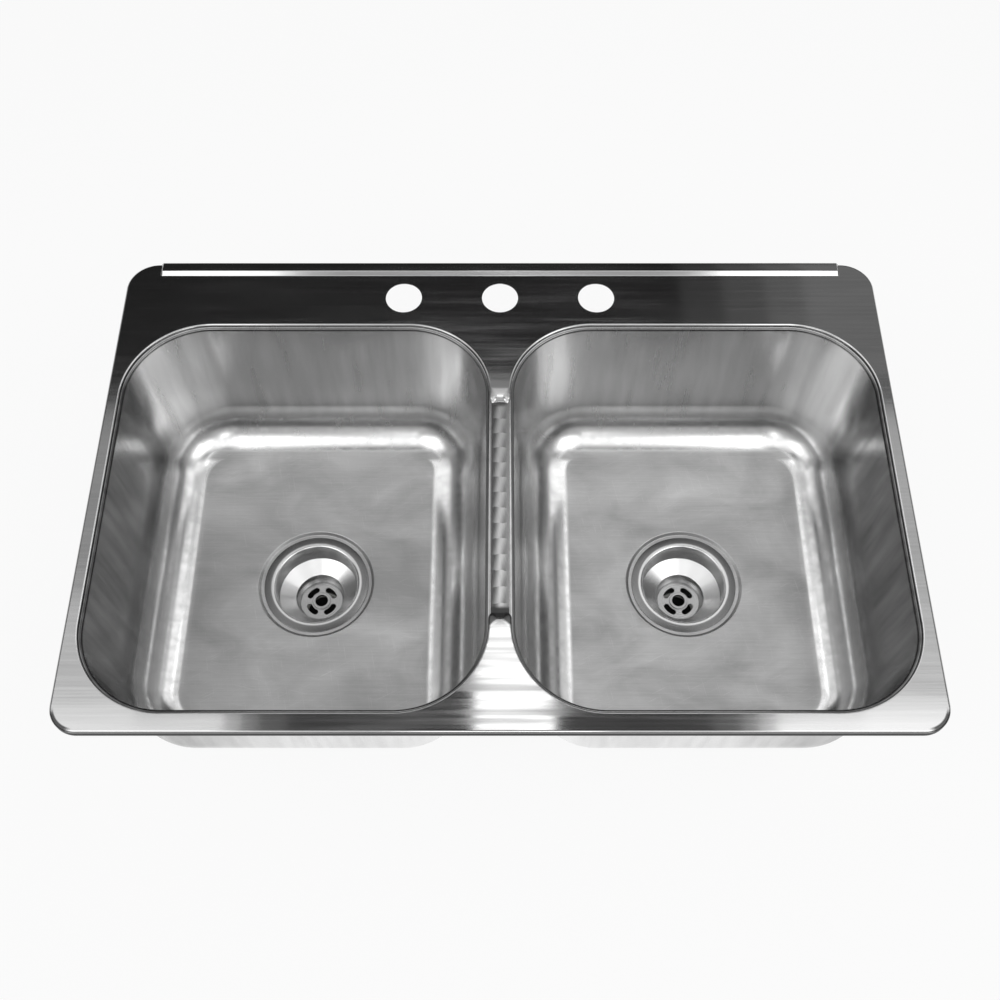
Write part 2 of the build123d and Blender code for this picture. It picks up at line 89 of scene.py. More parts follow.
# ---- Outlines and profiles -------------------------------------------------------------------
def arc(cx, cy, radius, start, end, count, way=1):
    """Arc: centre + radius (cos a, sin a), a from start to end in equal steps, end left out.

    The second array is the outward direction, way (cos a, sin a).
    """
    a = np.radians(np.linspace(start, end, count, endpoint=False))
    unit = np.stack([np.cos(a), np.sin(a)], 1)
    return np.array([cx, cy]) + radius * unit, way * unit


def line(ax, ay, bx, by, count):
    """Line: (1 - t) a + t b for t from 0 up to 1; outward is its direction turned right by 90."""
    t = np.linspace(0, 1, count, endpoint=False)[:, None]
    along = np.array([bx - ax, by - ay]) / np.hypot(bx - ax, by - ay)
    points = np.array([ax, ay]) * (1 - t) + np.array([bx, by]) * t
    return points, np.tile([along[1], -along[0]], (count, 1))


def joined(*parts):
    """One closed outline from arcs and lines that follow each other."""
    return np.concatenate([p for p, _ in parts]), np.concatenate([n for _, n in parts])


def rounded_rectangle(cx, cy, hx, hy, front, rear, turn=28, straight=20):
    """Counter-clockwise outline of a rectangle with its front and rear corners rounded."""
    return joined(
        line(cx + hx, cy - hy + front, cx + hx, cy + hy - rear, straight),
        arc(cx + hx - rear, cy + hy - rear, rear, 0, 90, turn),
        line(cx + hx - rear, cy + hy, cx - hx + rear, cy + hy, straight),
        arc(cx - hx + rear, cy + hy - rear, rear, 90, 180, turn),
        line(cx - hx, cy + hy - rear, cx - hx, cy - hy + front, straight),
        arc(cx - hx + front, cy - hy + front, front, 180, 270, turn),
        line(cx - hx + front, cy - hy, cx + hx - front, cy - hy, straight),
        arc(cx + hx - front, cy - hy + front, front, 270, 360, turn),
    )


def deck_opening():
    """Counter-clockwise outline of the deck's opening: both bowls, joined over the saddle.

    Right half from the front tongue's tip round the right bowl to the rear tongue's tip, then
    the same mirrored in X and run backwards.
    """
    low, high = OPEN_Y - OPEN_HALF_Y + OPEN_RADIUS, OPEN_Y + OPEN_HALF_Y - OPEN_RADIUS
    near, far = DIVIDER_HALF + OPEN_RADIUS, OPEN_X + OPEN_HALF_X - OPEN_RADIUS
    flat, r = DIVIDER_HALF - TONGUE_RADIUS, OPEN_RADIUS
    points, outward = joined(
        line(0, TONGUE_FRONT, flat, TONGUE_FRONT, 4),
        arc(flat, TONGUE_FRONT - TONGUE_RADIUS, TONGUE_RADIUS, 90, 0, 12, -1),
        arc(near, low, r, 181, 270, 48),
        line(near, low - r, far, low - r, 16),
        arc(far, low, r, 270, 360, 48),
        line(far + r, low, far + r, high, 20),
        arc(far, high, r, 0, 90, 48),
        line(far, high + r, near, high + r, 16),
        arc(near, high, r, 90, 179, 48),
        arc(flat, TONGUE_REAR + TONGUE_RADIUS, TONGUE_RADIUS, 0, -90, 12, -1),
        line(flat, TONGUE_REAR, 0, TONGUE_REAR, 4),
    )
    mirror = np.array([-1.0, 1.0])
    points = np.concatenate([points, [[0.0, TONGUE_REAR]], points[:0:-1] * mirror])
    outward = np.concatenate([outward, [[0.0, 1.0]], outward[:0:-1] * mirror])
    return points, outward


def rounded_profile(corners, steps=10):
    """Profile through (distance, height, radius) corners, each radius a tangent arc.

    An arc's points are centre + radius times the unit directions that turn evenly from one
    tangent point to the other.
    """
    rows = []
    for i, (a, z, radius) in enumerate(corners):
        here = np.array([a, z])
        if radius <= 0:
            rows.append(here[None])
            continue
        back = np.array(corners[i - 1][:2]) - here
        ahead = np.array(corners[(i + 1) % len(corners)][:2]) - here
        back, ahead = back / np.hypot(*back), ahead / np.hypot(*ahead)
        half = np.arccos(np.clip(back @ ahead, -1, 1)) / 2
        middle = (back + ahead) / np.hypot(*(back + ahead))
        centre = here + middle * radius / sin(half)
        first = here + back * radius / tan(half) - centre
        last = here + ahead * radius / tan(half) - centre
        turn = pi - 2 * half
        t = np.linspace(0, 1, steps + 1)[:, None]
        swing = (np.sin((1 - t) * turn) * first + np.sin(t * turn) * last) / sin(turn)
        rows.append(centre + swing)
    return np.concatenate(rows)


def swept(outline, outward, profile, other=None, share=0.0):
    """Rings: row j is the outline moved by profile[j, 0] along outward, at height profile[j, 1].

    With another profile, each outline point has its own mix: (1 - share) profile + share other.
    """
    mixed = profile[:, None]
    if other is not None:
        mixed = (1 - share)[None, :, None] * mixed + share[None, :, None] * other[:, None]
    xy = outline[None] + mixed[..., :1] * outward[None]
    z = np.broadcast_to(mixed[..., 1:], xy.shape[:2] + (1,))
    return np.concatenate([xy, z], 2)


def turned(profile, cx, cy, count=128):
    """Rings of a lathe shape: (c + r cos a, c + r sin a, z) for each profile point (r, z)."""
    a = np.linspace(0, 2 * pi, count, endpoint=False)
    ring = np.stack([np.cos(a), np.sin(a)], 1)
    return swept(np.tile([float(cx), float(cy)], (count, 1)), ring, profile)


# ---- Meshes ----------------------------------------------------------------------------------
SHARP = 32.0  # angle in degrees from which an edge is shown sharp


def grid_faces(rows, columns, close_rows, close_columns, base=0):
    """Quads of a grid of points, wrapped where a side is closed, and their corners' grid places."""
    j, i = np.meshgrid(
        np.arange(rows if close_rows else rows - 1),
        np.arange(columns if close_columns else columns - 1),
        indexing="ij",
    )
    j, i = j.ravel(), i.ravel()
    cj = np.stack([j, j, j + 1, j + 1], 1)
    ci = np.stack([i, i + 1, i + 1, i], 1)
    return base + (cj % rows) * columns + ci % columns, cj, ci


def piece(name, points, faces, material, slot, nodes=(), uv=None, sharp=SHARP, solid=True):
    """Mesh object from point and face arrays in millimetres, facing outwards.

    For a closed shell the signed volume, a sixth of the sum of a . (b x c) over its triangles,
    has to be positive; otherwise every face is turned round.
    """
    points = np.asarray(points, float).reshape(-1, 3)
    if solid:
        a, b, c, d = (points[faces[:, k]] for k in (0, 1, 2, 3))
        volume = np.einsum("ij,ij", a, np.cross(b, c)) + np.einsum("ij,ij", a, np.cross(c, d))
        if volume < 0:
            faces = faces[:, ::-1]
            uv = None if uv is None else uv[:, ::-1]
    mesh = bpy.data.meshes.new(name)
    mesh.from_pydata((points / 1000).tolist(), [], [list(dict.fromkeys(f)) for f in faces.tolist()])
    if uv is not None:
        # a triangle is a quad with one corner twice, of which the second is left out
        once = faces != np.roll(faces, 1, axis=1)
        mesh.uv_layers.new(name="finish").data.foreach_set("uv", uv[once].ravel())
    mesh.shade_smooth()
    mesh.set_sharp_from_angle(angle=radians(sharp))
    mesh.materials.append(material)
    obj = bpy.data.objects.new(name, mesh)
    bpy.context.collection.objects.link(obj)
    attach(obj, "root")
    if nodes:
        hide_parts(*nodes)
    return obj


def ring_uv(grid, cj, ci):
    """UV of a ring grid: distance round the middle ring, and distance across the rings."""
    closed = np.concatenate([grid, grid[:, :1]], 1)
    closed = np.concatenate([closed, closed[:1]], 0)
    middle = closed[len(grid) // 2]
    u = np.concatenate([[0], np.cumsum(np.linalg.norm(np.diff(middle, axis=0), axis=1))])
    v = np.concatenate([[0], np.cumsum(np.linalg.norm(np.diff(closed[:, 0], axis=0), axis=1))])
    return np.stack([u[ci], v[cj]], 2) / 1000


def flat_fill(loops):
    """Triangles that fill the first loop less the others, for points that all lie in one plane."""
    count = np.cumsum([0] + [len(loop) for loop in loops])
    edges = [
        (int(a), int(b))
        for s, e in zip(count[:-1], count[1:])
        for a, b in zip(range(s, e), list(range(s + 1, e)) + [s])
    ]
    flat = np.concatenate(loops)
    points, _, faces, origin, _, _ = delaunay_2d_cdt(flat.tolist(), edges, [], 2, 1e-6)
    back = np.array([o[0] for o in origin])
    faces = np.array(faces)
    corners = np.array([list(p) for p in points])[faces]
    middle = corners.mean(1)
    keep = np.ones(len(faces), bool)
    for loop in loops[1:]:
        keep &= ~inside(middle, loop)
    tri = back[faces[keep]]
    a, b, c = (flat[tri[:, k]] for k in range(3))
    area = (b - a)[:, 0] * (c - a)[:, 1] - (b - a)[:, 1] * (c - a)[:, 0]
    tri[area < 0] = tri[area < 0][:, ::-1]
    return tri


def inside(points, loop):
    """True for points that a loop goes round: an odd number of its edges cross the ray to +X."""
    a, b = loop, np.roll(loop, -1, 0)
    x, y = points[:, :1], points[:, 1:]
    cross = (a[:, 1] > y) != (b[:, 1] > y)
    rise = np.where(b[:, 1] == a[:, 1], 1, b[:, 1] - a[:, 1])
    at = a[:, 0] + (y - a[:, 1]) * (b[:, 0] - a[:, 0]) / rise
    return (cross & (x < at)).sum(1) % 2 == 1


# ---- Shader nodes ----------------------------------------------------------------------------
def fill(tree, node, values):
    """Sets a node's inputs to plain values, or links them to sockets."""
    for key, value in values.items():
        if isinstance(value, bpy.types.NodeSocket):
            tree.links.new(value, node.inputs[key])
        else:
            node.inputs[key].default_value = value


def add(tree, kind, values=None, **settings):
    """New node with its settings and its inputs."""
    made = tree.nodes.new(kind)
    for key, value in settings.items():
        setattr(made, key, value)
    fill(tree, made, values or {})
    return made


def maths(tree, operation, a, b=None, c=None):
    values = {k: v for k, v in enumerate((a, b, c)) if v is not None}
    return add(tree, "ShaderNodeMath", values, operation=operation).outputs[0]


def times(tree, first, *others):
    """Product of all values."""
    for other in others:
        first = maths(tree, "MULTIPLY", first, other)
    return first


def most(tree, first, *others):
    """Largest of all values."""
    for other in others:
        first = maths(tree, "MAXIMUM", first, other)
    return first


def rest(tree, share):
    """What a share leaves of 1."""
    return maths(tree, "SUBTRACT", 1.0, share)


def weighted(tree, first, *others):
    """Sum of value times factor over (value, factor) pairs."""
    total = maths(tree, "MULTIPLY", *first)
    for value, factor in others:
        total = maths(tree, "MULTIPLY_ADD", value, factor, total)
    return total


def mixed(tree, share, first, second):
    """The first value where the share is 0, the second where it is 1."""
    return add(tree, "ShaderNodeMix", {0: share, 2: first, 3: second}).outputs[0]


def remap(tree, value, low, high, to_low=0.0, to_high=1.0, kind="LINEAR"):
    values = {"Value": value, "From Min": low, "From Max": high, "To Min": to_low, "To Max": to_high}
    return add(tree, "ShaderNodeMapRange", values, interpolation_type=kind).outputs[0]


def ramp(tree, place, low, high, to_low=0.0, to_high=1.0, kind="LINEAR"):
    """Change along a coordinate in metres between two places in millimetres."""
    return remap(tree, place, low / 1000, high / 1000, to_low, to_high, kind)


def fade(tree, place, low, high, to_low=0.0, to_high=1.0):
    """A ramp with a soft start and a soft end."""
    return ramp(tree, place, low, high, to_low, to_high, "SMOOTHSTEP")


def noise(tree, vector, scale=1.0, detail=3.0, roughness=0.5, distortion=0.0):
    values = {"Vector": vector, "Scale": scale, "Detail": detail, "Roughness": roughness,
              "Distortion": distortion}
    return add(tree, "ShaderNodeTexNoise", values).outputs[0]


def scaled(tree, vector, factors):
    """Vector times a factor for each axis."""
    return add(tree, "ShaderNodeVectorMath", {0: vector, 1: factors}, operation="MULTIPLY").outputs[0]


def stretched(tree, vector, x, y, z):
    """Vector in metres divided by feature sizes in millimetres."""
    return scaled(tree, vector, (1000 / x, 1000 / y, 1000 / z))


def joined_axes(tree, x, y, z):
    return add(tree, "ShaderNodeCombineXYZ", {0: x, 1: y, 2: z}).outputs[0]


def coordinates(tree, vector):
    return tuple(add(tree, "ShaderNodeSeparateXYZ", {0: vector}).outputs)


def from_drain(tree, place):
    """Offset in X from the nearer drain's axis, squared distance from that axis, and height."""
    x, y, z = coordinates(tree, place)
    x = maths(tree, "SUBTRACT", maths(tree, "ABSOLUTE", x), DRAIN_X / 1000)
    y = maths(tree, "SUBTRACT", y, DRAIN_Y / 1000)
    return x, maths(tree, "MULTIPLY_ADD", x, x, times(tree, y, y)), z


def turned_about_z(tree, vector, degrees):
    values = {"Vector": vector, "Axis": (0, 0, 1), "Angle": radians(degrees)}
    return add(tree, "ShaderNodeVectorRotate", values).outputs[0]


# ---- Shader node groups ----------------------------------------------------------------------
def group(name, inputs, outputs):
    """New node group that takes a vector and the given numbers, with its inputs and outputs."""
    tree = bpy.data.node_groups.new(name, "ShaderNodeTree")
    tree.interface.new_socket("Vector", in_out="INPUT", socket_type="NodeSocketVector")
    for label, default in inputs.items():
        made = tree.interface.new_socket(label, in_out="INPUT", socket_type="NodeSocketFloat")
        made.default_value = default
    for label in outputs:
        tree.interface.new_socket(label, in_out="OUTPUT", socket_type="NodeSocketFloat")
    start, end = tree.nodes.new("NodeGroupInput"), tree.nodes.new("NodeGroupOutput")
    return tree, start.outputs, end.inputs


def brushed_group():
    """Belt-brushed grain along X: hair lines, broader streaks and slow patches."""
    outputs = {"Hairlines": (1, 1, 2), "Streaks": (2.5, 9, 4), "Patches": (2, 60, 3)}
    tree, given, out = group("brushed grain", {"Along": 60.0, "Across": 0.35}, outputs)
    for label, (along, across, detail) in outputs.items():
        x = maths(tree, "DIVIDE", 1000 / along, given["Along"])
        y = maths(tree, "DIVIDE", 1000 / across, given["Across"])
        vector = scaled(tree, given["Vector"], joined_axes(tree, x, y, y))
        tree.links.new(noise(tree, vector, 1.0, detail, 0.6), out[label])
    return tree


def scratch_group():
    """Fine wear scratches: thin bright lines where three turned, stretched noises peak."""
    tree, given, out = group("wear scratches", {"Length": 30.0}, ["Scratches", "Smudges"])
    along = maths(tree, "DIVIDE", 1000.0, given["Length"])
    lines = []
    for degrees, width in ((14, 0.5), (-27, 0.7), (78, 0.6)):
        vector = scaled(tree, turned_about_z(tree, given["Vector"], degrees),
                        joined_axes(tree, along, 1000 / width, along))
        lines.append(remap(tree, noise(tree, vector, 1.0, 1.0), 0.68, 0.8))
    tree.links.new(most(tree, *lines), out["Scratches"])
    smudge = noise(tree, stretched(tree, given["Vector"], 95, 60, 80), 1.0, 5.0, 0.55, 0.6)
    tree.links.new(smudge, out["Smudges"])
    return tree


def thread_group():
    """Screw thread height about Z: a rounded wave of the height plus the turn's share of it."""
    tree, given, out = group("screw thread", {"Pitch": 1.0}, ["Height"])
    x, y, z = coordinates(tree, given["Vector"])
    turn = maths(tree, "DIVIDE", maths(tree, "ARCTAN2", y, x), 2 * pi)
    rise = maths(tree, "DIVIDE", times(tree, z, 1000.0), given["Pitch"])
    wave = maths(tree, "SINE", times(tree, maths(tree, "ADD", rise, turn), 2 * pi))
    tree.links.new(maths(tree, "MULTIPLY_ADD", wave, 0.5, 0.5), out["Height"])
    return tree


GRAIN, SCRATCH, THREAD = brushed_group(), scratch_group(), thread_group()


# ---- Finishes --------------------------------------------------------------------------------
def material(name):
    """New material with its tree, its Principled shader and the object's coordinates."""
    made = bpy.data.materials.new(name)
    made.use_nodes = True
    tree = made.node_tree
    place = add(tree, "ShaderNodeTexCoord").outputs["Object"]
    return made, tree, tree.nodes["Principled BSDF"], place


def use(tree, shared, **values):
    """Outputs of a shared node group with its inputs set."""
    return add(tree, "ShaderNodeGroup", values, node_tree=shared).outputs


def between(tree, share, low, high):
    """Colour between two greys or colours by a share from 0 to 1."""
    low, high = ((v, v, v, 1) if isinstance(v, float) else (*v, 1) for v in (low, high))
    return add(tree, "ShaderNodeMix", {0: share, 6: low, 7: high}, data_type="RGBA").outputs[2]


def finish(tree, shader, colour, roughness, height=None, distance=0.05, strength=1.0,
           metallic=1.0, **sockets):
    """Sets a finish on the shader; distance is the bump's height in millimetres."""
    values = {"Base Color": colour, "Roughness": roughness, "Metallic": metallic}
    values.update((key.replace("_", " "), value) for key, value in sockets.items())
    if height is not None:
        bump = {"Height": height, "Distance": distance / 1000, "Strength": strength}
        values["Normal"] = add(tree, "ShaderNodeBump", bump).outputs[0]
    fill(tree, shader, values)


def along_uv(tree, shader, amount):
    """Highlights drawn out across the grain, which runs along the piece's own U direction."""
    tangent = add(tree, "ShaderNodeTangent", direction_type="UV_MAP", uv_map="finish").outputs[0]
    fill(tree, shader, {"Tangent": tangent, "Anisotropic": amount, "Anisotropic Rotation": 0.25})


def deck_steel():
    """Deck steel: grain along the width, slow darker streaks in it, and painted shade as dark lines on its
    edges.
    """
    made, tree, shader, place = material("stainless, brushed along the width")
    x, y, z = coordinates(tree, place)
    aside = maths(tree, "ABSOLUTE", x)
    grain = use(tree, GRAIN, Vector=place, Along=70.0, Across=0.3)
    share = weighted(tree, (grain["Patches"], 0.5), (grain["Streaks"], 0.7))

    # darker streaks: strongest on the front tongue, weaker behind it and faint to the sides
    darker_streaks = noise(tree, stretched(tree, place, 190, 9, 9), 1.0, 2.0)
    darker_streaks = times(tree, remap(tree, darker_streaks, 0.38, 0.66, 0.0, 1.0, "SMOOTHSTEP"),
                 fade(tree, y, -200, -100, 1.0, 0.5), fade(tree, aside, 80, 200, 1.0, 0.08))

    # painted shade on the rim low down, and on the openings' roll but for its rear part and the rear
    # tongue's tip
    within = times(tree, ramp(tree, aside, 385.5, 386.5, 1.0, 0.0), ramp(tree, y, -243.5, -242.5))
    rim = times(tree, fade(tree, z, 6.0, 6.8, 1.0, 0.0), rest(tree, within))
    rear_tip = times(tree, ramp(tree, aside, 12.5, 13.5, 1.0, 0.0), ramp(tree, y, 0.0, 1.0))
    roll = times(tree, fade(tree, z, 7.2, 7.7, 0.9, 0.0), within,
                 ramp(tree, y, 150, 170, 1.0, 0.0), rest(tree, rear_tip))

    # painted shade on the front corners' edge, from a radius about each corner's centre
    over = most(tree, maths(tree, "SUBTRACT", aside, (WIDTH / 2 - FRONT_CORNER) / 1000), 0.0)
    before = most(tree, maths(tree, "SUBTRACT", (FRONT_CORNER - DEPTH / 2) / 1000, y), 0.0)
    reach = maths(tree, "SQRT", weighted(tree, (before, before), (over, over)))
    corner = times(tree, fade(tree, reach, 21.4, 22.8, 0.0, 0.9),
                   fade(tree, maths(tree, "MINIMUM", over, before), 2, 10))

    # painted shadow on the front tongue's tip, behind a line that leans forward away from the middle
    leaning = maths(tree, "MULTIPLY_ADD", aside, 0.8, y)
    tip = times(tree, fade(tree, leaning, -152.5, -149.5, 0.0, 0.8),
                ramp(tree, aside, 11.0, 11.8, 1.0, 0.0), ramp(tree, y, -100, -90, 1.0, 0.0))

    edge = most(tree, rim, roll, corner, tip)
    tone = maths(tree, "MULTIPLY_ADD", darker_streaks, -0.18, remap(tree, share, 0.35, 0.85, 0.54, 0.66))
    # painted shade: the edge masks darken the tone down to 0.07
    tone = times(tree, tone, remap(tree, edge, 0.0, 1.0, 1.0, 0.07))
    rough = maths(tree, "MULTIPLY_ADD", grain["Hairlines"], 0.4, share)
    rough = maths(tree, "MULTIPLY_ADD", darker_streaks, 0.09, remap(tree, rough, 0.5, 1.2, 0.06, 0.14))
    rough = maths(tree, "MULTIPLY_ADD", edge, 0.3, rough)
    relief = maths(tree, "MULTIPLY_ADD", grain["Hairlines"], 0.25, grain["Streaks"])
    finish(tree, shader, between(tree, tone, 0.0, 1.0), rough, relief, 0.004, 0.5)
    along_uv(tree, shader, 0.75)
    return made


def bowl_steel():
    """Drawn bowl: soft draw lines down the walls and bends, a duller, finely worn floor, and painted light
    and shade on the walls, the rear bend and under the lip.
    """
    made, tree, shader, place = material("stainless, satin drawn bowl")
    x, y, z = coordinates(tree, place)
    aside = maths(tree, "ABSOLUTE", x)
    rear = fade(tree, y, 100, 135)
    wear = use(tree, SCRATCH, Vector=place, Length=30.0)
    grain = use(tree, GRAIN, Vector=place, Along=22.0, Across=0.18)
    drawn = noise(tree, stretched(tree, place, 12, 12, 160))
    fine = noise(tree, stretched(tree, place, 0.7, 0.7, 60), 1.0, 2.0)
    wall = weighted(tree, (drawn, 0.85), (fine, 0.15))
    worn = weighted(tree, (grain["Streaks"], 0.25), (wear["Smudges"], 0.75))

    # the floor, with the foot of the rear bend
    foot = maths(tree, "MINIMUM", fade(tree, z, FLOOR + 2.0, FLOOR + 4.0, 1.0, 0.0),
                 rest(tree, fade(tree, y, 130, 136)))
    flat = most(tree, fade(tree, z, FLOOR + 0.15, FLOOR + 0.6, 1.0, 0.0),
                times(tree, fade(tree, y, 118, 124), foot))

    # the wall in front of the rear bend: painted light by the divider, painted shade high on the outer
    # side
    tone = remap(tree, wall, 0.3, 0.7, 0.66, 0.80)
    inner = times(tree, ramp(tree, aside, 50, 120, 1.0, 0.0), rest(tree, rear))
    outer = times(tree, fade(tree, aside, 200, 350), fade(tree, z, -150, -120), rest(tree, rear))
    tone = maths(tree, "MULTIPLY_ADD", inner, 0.14, tone)
    tone = maths(tree, "MULTIPLY_ADD", outer, -0.50, tone)

    # the rear between its corners: painted light on the upper bend, painted shade on the wall above it
    upright = fade(tree, z, -130, -124)
    painted_bend_light = times(tree, fade(tree, z, -160, -146), rest(tree, upright))
    middle = times(tree, fade(tree, aside, 50, 120), fade(tree, aside, 280, 340, 1.0, 0.0))
    painted_rear_light_and_shade = times(tree, weighted(tree, (upright, -0.36), (painted_bend_light, 0.30)), middle, rear)
    tone = maths(tree, "MULTIPLY_ADD", tone, painted_rear_light_and_shade, tone)

    # painted shade: a dark line under the lip, and a darkened lip
    under = fade(tree, z, 1.2, 2.4, 1.0, 0.35)
    painted_lip_shade = times(tree, ramp(tree, z, 4.5, 4.7), ramp(tree, aside, 9.6, 10.0, 0.2, 0.75))
    tone = times(tree, tone, most(tree, under, painted_lip_shade))

    floor_tone = remap(tree, worn, 0.35, 0.65, 0.40, 0.56)
    floor_tone = maths(tree, "MULTIPLY_ADD", wear["Scratches"], 0.10, floor_tone)
    wall_rough = maths(tree, "MULTIPLY_ADD", rear, 0.05, remap(tree, wall, 0.3, 0.7, 0.24, 0.15))
    rough = mixed(tree, flat, wall_rough, remap(tree, worn, 0.3, 0.7, 0.46, 0.32))
    relief = mixed(tree, flat, drawn, maths(tree, "SUBTRACT", grain["Streaks"], wear["Scratches"]))
    colour = between(tree, mixed(tree, flat, tone, floor_tone), 0.0, 1.0)
    finish(tree, shader, colour, rough, relief, 0.006, 0.5)
    return made


def saddle_steel():
    """Ground strip with overlapping grinding marks, each a slanted light streak that is partly its ground
    finish and partly painted reflection, with painted light towards +X and painted shadow at its front
    end.

    The marks are the whole numbers passed by y / pitch; the streak's middle moves across the
    strip with the remainder.
    """
    made, tree, shader, place = material("stainless, ground in steps")
    pitch, slant, start = 16.8, 3.0, -1.8  # from mark to mark; a streak's way in X; where it starts
    x, y = (times(tree, part, 1000.0) for part in coordinates(tree, place)[:2])
    waver = noise(tree, stretched(tree, place, 6, 14, 14))
    mark = maths(tree, "MULTIPLY_ADD", waver, 0.25, maths(tree, "DIVIDE", y, pitch))
    middle = maths(tree, "MULTIPLY_ADD", maths(tree, "FRACT", mark), slant, start)
    away = maths(tree, "ABSOLUTE", maths(tree, "SUBTRACT", x, middle))
    streak = remap(tree, away, 0.2, 6.8, 1.0, 0.0, "SMOOTHSTEP")
    # painted light: the strip grows lighter towards +X
    side = remap(tree, x, 1.0, 7.5, 0.0, 0.28, "SMOOTHSTEP")
    grain = use(tree, GRAIN, Vector=turned_about_z(tree, place, 78), Along=12.0, Across=0.25)
    mix = maths(tree, "MULTIPLY_ADD", streak, 0.62, side)
    mix = maths(tree, "MULTIPLY_ADD", grain["Hairlines"], 0.4, mix)
    # painted shadow: the strip's front end fades to its darkest grey
    mix = times(tree, mix, remap(tree, y, -143.0, -138.0, 0.0, 1.0, "SMOOTHSTEP"))
    colour = between(tree, remap(tree, mix, 0.1, 1.0), 0.08, 0.64)
    rough = remap(tree, mix, 0.2, 1.1, 0.40, 0.24)
    finish(tree, shader, colour, rough, grain["Hairlines"], 0.006, 0.4)
    return made


def turned_steel(name, low, high, rough_low, rough_high):
    """Steel turned on a lathe: fine circles about each drain's own axis, with painted shade darkening it
    at the rim.
    """
    made, tree, shader, place = material(name)
    x, square, z = from_drain(tree, place)
    radius = maths(tree, "SQRT", square)
    spot = joined_axes(tree, radius, times(tree, x, 0.02), z)
    circles = noise(tree, stretched(tree, spot, 0.5, 0.5, 0.5), 1.0, 3.0, 0.6)
    wear = use(tree, SCRATCH, Vector=place, Length=12.0)
    share = weighted(tree, (circles, 0.5), (wear["Smudges"], 0.6))
    # painted shade: the tone falls to 0.30 beyond a radius of 48 to 50 mm
    tone = times(tree, remap(tree, share, 0.3, 0.8, low, high),
                 fade(tree, radius, 48, 50, 1.0, 0.30))
    height = maths(tree, "MULTIPLY_ADD", wear["Scratches"], -0.3, circles)
    rough = remap(tree, share, 0.3, 0.8, rough_low, rough_high)
    finish(tree, shader, between(tree, tone, 0.0, 1.0), rough, height, 0.01, 0.4)
    return made, tree, shader


def drain_steel():
    made, tree, shader = turned_steel("stainless, polished drain", 0.60, 0.74, 0.16, 0.30)
    along_uv(tree, shader, 0.5)
    return made


def grid_steel():
    return turned_steel("stainless, stamped grid", 0.32, 0.48, 0.20, 0.34)[0]


def sheet_rubber(name, low, high, grain_size, depth, rough):
    """Matt rubber or foam: cells or moulding grain in its height, slightly uneven in shade."""
    made, tree, shader, place = material(name)
    cells = add(tree, "ShaderNodeTexVoronoi",
                {"Vector": stretched(tree, place, grain_size, grain_size, grain_size), "Scale": 1.0})
    cells = cells.outputs["Distance"]
    slow = noise(tree, stretched(tree, place, 40, 40, 20), 1.0, 4.0)
    colour = between(tree, weighted(tree, (slow, 0.6), (cells, 0.4)), low, high)
    roughness = remap(tree, slow, 0.3, 0.7, rough - 0.08, rough + 0.08)
    finish(tree, shader, colour, roughness, cells, depth, 0.8, metallic=0.0,
           Specular_IOR_Level=0.35)
    return made


def fibre():
    made, tree, shader, place = material("pressed fibre")
    threads = noise(tree, turned_about_z(tree, stretched(tree, place, 6, 0.6, 0.6), 30), 1.0, 5.0, 0.7)
    flecks = noise(tree, stretched(tree, place, 1.2, 5, 1.2), 1.0, 4.0, 0.7)
    mix = weighted(tree, (flecks, 0.5), (threads, 0.6))
    colour = between(tree, remap(tree, mix, 0.35, 0.75), (0.30, 0.17, 0.09), (0.55, 0.37, 0.22))
    rough = remap(tree, mix, 0.3, 0.8, 0.7, 0.9)
    finish(tree, shader, colour, rough, mix, 0.08, 0.7, metallic=0.0)
    return made


def cast_zinc():
    made, tree, shader, place = material("die-cast zinc")
    slow = noise(tree, stretched(tree, place, 22, 22, 22), 1.0, 5.0)
    fine = noise(tree, stretched(tree, place, 0.9, 0.9, 0.9), 1.0, 3.0, 0.6)
    mix = weighted(tree, (fine, 0.3), (slow, 0.7))
    colour = between(tree, remap(tree, mix, 0.35, 0.7), 0.36, 0.52)
    rough = remap(tree, mix, 0.35, 0.7, 0.62, 0.42)
    finish(tree, shader, colour, rough, fine, 0.05, 0.6, metallic=0.85)
    return made


def moulded_plastic(name, low, high):
    made, tree, shader, place = material(name)
    slow = noise(tree, stretched(tree, place, 35, 35, 25), 1.0, 4.0)
    fine = noise(tree, stretched(tree, place, 0.5, 0.5, 0.5), 1.0, 2.0)
    colour = between(tree, remap(tree, slow, 0.3, 0.7), low, high)
    rough = remap(tree, weighted(tree, (slow, 0.6), (fine, 0.4)), 0.3, 0.7, 0.36, 0.5)
    finish(tree, shader, colour, rough, fine, 0.02, 0.5, metallic=0.0, Specular_IOR_Level=0.5)
    return made


def zinc_plate(name, threaded):
    """Bright zinc plate with soft blotches; a stud's shank carries its thread as height."""
    made, tree, shader, place = material(name)
    blotch = noise(tree, stretched(tree, place, 7, 7, 7), 1.0, 5.0, 0.6)
    colour = between(tree, remap(tree, blotch, 0.3, 0.7), (0.52, 0.53, 0.54), (0.70, 0.69, 0.66))
    height, depth = noise(tree, stretched(tree, place, 0.4, 0.4, 1.5), 1.0, 2.0), 0.03
    if threaded:
        wave = use(tree, THREAD, Vector=place, Pitch=0.8)["Height"]
        height, depth = maths(tree, "MULTIPLY_ADD", height, 0.15, wave), 0.25
    finish(tree, shader, colour, remap(tree, blotch, 0.3, 0.7, 0.24, 0.4), height, depth, 0.8)
    return made


DECK_STEEL, BOWL_STEEL, SADDLE_STEEL = deck_steel(), bowl_steel(), saddle_steel()
DRAIN_STEEL = drain_steel()


# ---- Deck ------------------------------------------------------------------------------------
def plane_uv(points, faces):
    """UV with U along X and V along Y, leant by the height so that no wall is without area."""
    p = points[faces] / 1000
    return np.stack([p[..., 0] + 0.5 * p[..., 2], p[..., 1] + p[..., 2]], 2)


